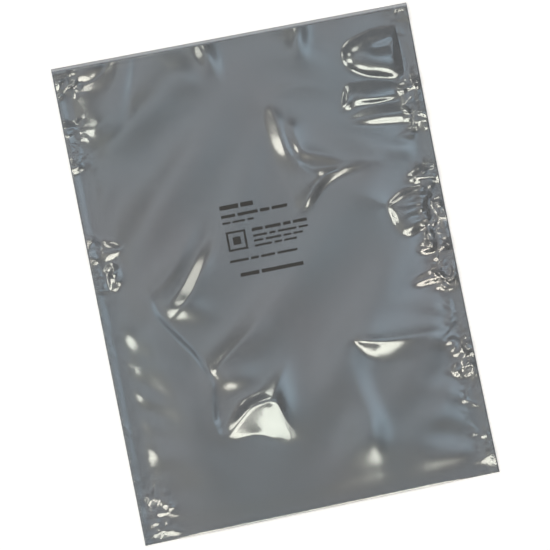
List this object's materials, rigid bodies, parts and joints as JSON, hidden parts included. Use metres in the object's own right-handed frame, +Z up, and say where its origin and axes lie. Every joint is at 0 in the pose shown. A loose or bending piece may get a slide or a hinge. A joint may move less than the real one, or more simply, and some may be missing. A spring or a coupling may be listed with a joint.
{
  "type": "static shielding bag",
  "caption": "Flat open-top bag of metallised film, folded across the bottom and welded down both sides, lying empty with air pockets along its seams.",
  "frame": {"origin": "centre of the rectangle the bag covers, on the surface it lies on", "axes": "+Z up from the back panel to the front panel, +Y from the bottom fold to the open mouth, +X across the bag to its puckered right-hand weld"},
  "size_m": [0.2286, 0.307, 0.0032],
  "materials": {
    "metallised_film": "glossy metallised polyester film, grey, half see-through in a single layer"
  },
  "bodies": {
    "root": {"shielding_bag": "metallised_film"}
  },
  "joints": []
}
